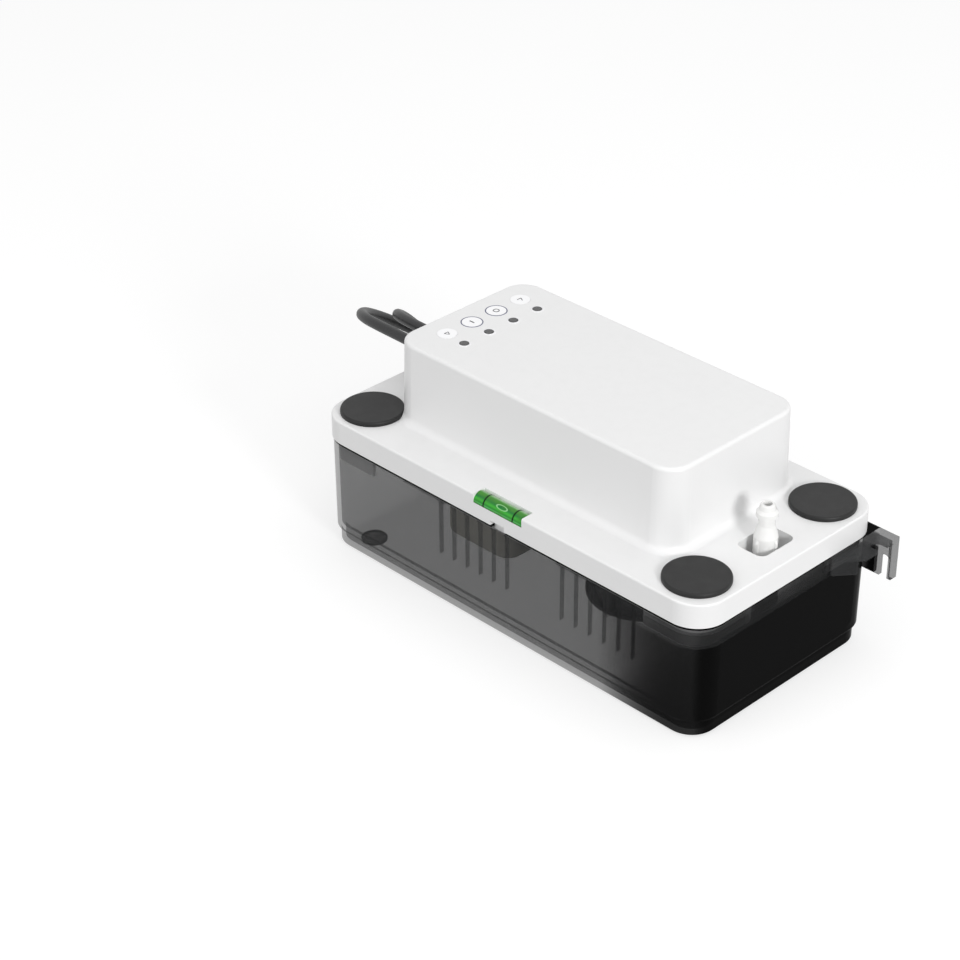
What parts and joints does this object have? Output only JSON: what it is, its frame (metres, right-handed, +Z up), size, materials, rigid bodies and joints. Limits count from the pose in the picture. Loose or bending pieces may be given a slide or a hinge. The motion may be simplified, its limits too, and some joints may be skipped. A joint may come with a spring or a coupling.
{
  "type": "condensate pump",
  "caption": "Automatic condensate pump: smoky tank, white lift-off head with motor box, plugged inlets, barbed check valve, level vial and cords.",
  "frame": {"origin": "on the floor under the middle of the tank's outline, its wall ears included", "axes": "+X along the pump towards the discharge barb, +Y towards the wall, +Z up"},
  "size_m": [0.3672, 0.2454, 0.1318],
  "materials": {
    "smoky_plastic": "clear smoky tint",
    "foot_rubber": "matte",
    "white_plastic": "satin",
    "green_glass": "clear green",
    "black_paint": "satin",
    "dark_lens": "gloss",
    "white_label": "satin",
    "board": "solder mask",
    "screw_steel": "zinc plated",
    "grey_plastic": "satin",
    "lamination": "varnished",
    "bobbin_plastic": "matte",
    "copper_winding": "enamelled wire under tape",
    "bracket_metal": "die cast",
    "bearing_bronze": "sintered",
    "black_plastic": "satin",
    "switch_case": "matte",
    "shaft_steel": "ground",
    "cord_rubber": "matte",
    "plug_rubber": "matte",
    "plug_brass": "bright",
    "core_insulation": "satin",
    "rotor_aluminium": "cast cage",
    "fan_plastic": "satin",
    "impeller_plastic": "satin",
    "float_foam": "matte",
    "rod_plastic": "satin",
    "valve_plastic": "gloss",
    "seal_rubber": "matte",
    "ball_rubber": "matte",
    "plug_cap": "satin"
  },
  "bodies": {
    "tank": {"tank": "smoky_plastic", "tank_feet": "foot_rubber"},
    "head": {"top_housing": "white_plastic", "level_vial": "green_glass", "vial_marks": "black_paint", "indicator_lights": "dark_lens", "icon_discs": "white_label", "circuit_board": "board", "small_screws": "screw_steel", "motor_deck": "grey_plastic", "deck_screws": "screw_steel", "stator_stack": "lamination", "coil_bobbin": "bobbin_plastic", "coil_winding": "copper_winding", "lower_bracket": "bracket_metal", "lower_bearing": "bearing_bronze", "upper_bracket": "bracket_metal", "upper_bearing": "bearing_bronze", "motor_screws": "screw_steel", "volute_casing": "black_plastic", "volute_cover": "black_plastic", "volute_screws": "screw_steel", "discharge_pipe": "black_plastic", "switch_bracket": "grey_plastic", "alarm_switch": "switch_case", "run_switch": "switch_case", "arm_pin": "shaft_steel", "power_strain_relief": "cord_rubber", "alarm_strain_relief": "cord_rubber", "power_cord": "cord_rubber", "power_cord_coil": "cord_rubber", "power_cord_tail": "cord_rubber", "mains_plug": "plug_rubber", "plug_blades": "plug_brass", "alarm_cord": "cord_rubber", "alarm_cord_coil": "cord_rubber", "alarm_cord_tail": "cord_rubber", "alarm_cord_cores": "core_insulation"},
    "motor_rotor": {"rotor": "rotor_aluminium", "motor_shaft": "shaft_steel", "cooling_fan": "fan_plastic", "impeller": "impeller_plastic"},
    "float": {"float": "float_foam", "float_rod": "rod_plastic"},
    "switch_arm": {"switch_arm": "rod_plastic"},
    "check_valve": {"check_valve": "valve_plastic", "valve_seal": "seal_rubber"},
    "check_ball": {"check_ball": "ball_rubber"},
    "inlet_plug_1": {"inlet_plug_1": "plug_cap"},
    "inlet_plug_2": {"inlet_plug_2": "plug_cap"},
    "inlet_plug_3": {"inlet_plug_3": "plug_cap"}
  },
  "joints": [
    {"name": "head_lift", "type": "slide", "parent": "tank", "child": "head", "axis": [0, 0, 1], "range_m": [0, 0.075]},
    {"name": "motor_spin", "type": "hinge", "parent": "head", "child": "motor_rotor", "pos_m": [0.035, 0.0048, 0.1], "axis": [0, 0, 1], "continuous": true},
    {"name": "float_rise", "type": "slide", "parent": "head", "child": "float", "axis": [0, 0, 1], "range_m": [0, 0.018]},
    {"name": "arm_swing", "type": "hinge", "parent": "head", "child": "switch_arm", "pos_m": [-0.028, 0.0048, 0.1062], "axis": [0, 1, 0], "range_deg": [0, 30]},
    {"name": "valve_twist", "type": "hinge", "parent": "head", "child": "check_valve", "pos_m": [0.12, 0.001, 0.07], "axis": [0, 0, 1], "range_deg": [0, 90]},
    {"name": "ball_lift", "type": "slide", "parent": "check_valve", "child": "check_ball", "axis": [0, 0, 1], "range_m": [0, 0.003]},
    {"name": "plug_1_lift", "type": "slide", "parent": "head", "child": "inlet_plug_1", "axis": [0, 0, 1], "range_m": [0, 0.014]},
    {"name": "plug_2_lift", "type": "slide", "parent": "head", "child": "inlet_plug_2", "axis": [0, 0, 1], "range_m": [0, 0.014]},
    {"name": "plug_3_lift", "type": "slide", "parent": "head", "child": "inlet_plug_3", "axis": [0, 0, 1], "range_m": [0, 0.014]}
  ],
  "couplings": [
    {"joint": "arm_swing", "follows": "float_rise", "rad_per_m": 29.05}
  ]
}
